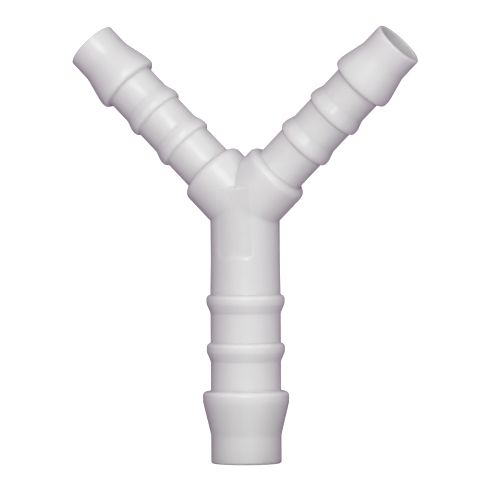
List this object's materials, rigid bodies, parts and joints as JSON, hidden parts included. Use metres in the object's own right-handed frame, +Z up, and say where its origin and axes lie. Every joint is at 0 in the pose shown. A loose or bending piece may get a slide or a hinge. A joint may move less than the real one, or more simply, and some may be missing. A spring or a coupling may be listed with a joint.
{
  "type": "tubing y connector",
  "caption": "Barbed Y connector for flexible hose: a wider stem splits at a creased hub into narrower arms, each limb with rounded retaining rings, a conical end barb and a plain nose.",
  "frame": {"origin": "middle of the lying part's box, on the surface that it lies on", "axes": "+X to the right arm, +Y from the stem's mouth towards the arms, +Z up; the limbs' plane dips about 2 degrees towards the arms because the stem's barb is larger"},
  "size_m": [0.065, 0.0788, 0.0156],
  "materials": {
    "body_plastic": "semi-gloss natural white, as moulded"
  },
  "bodies": {
    "root": {"y_connector": "body_plastic"}
  },
  "joints": []
}
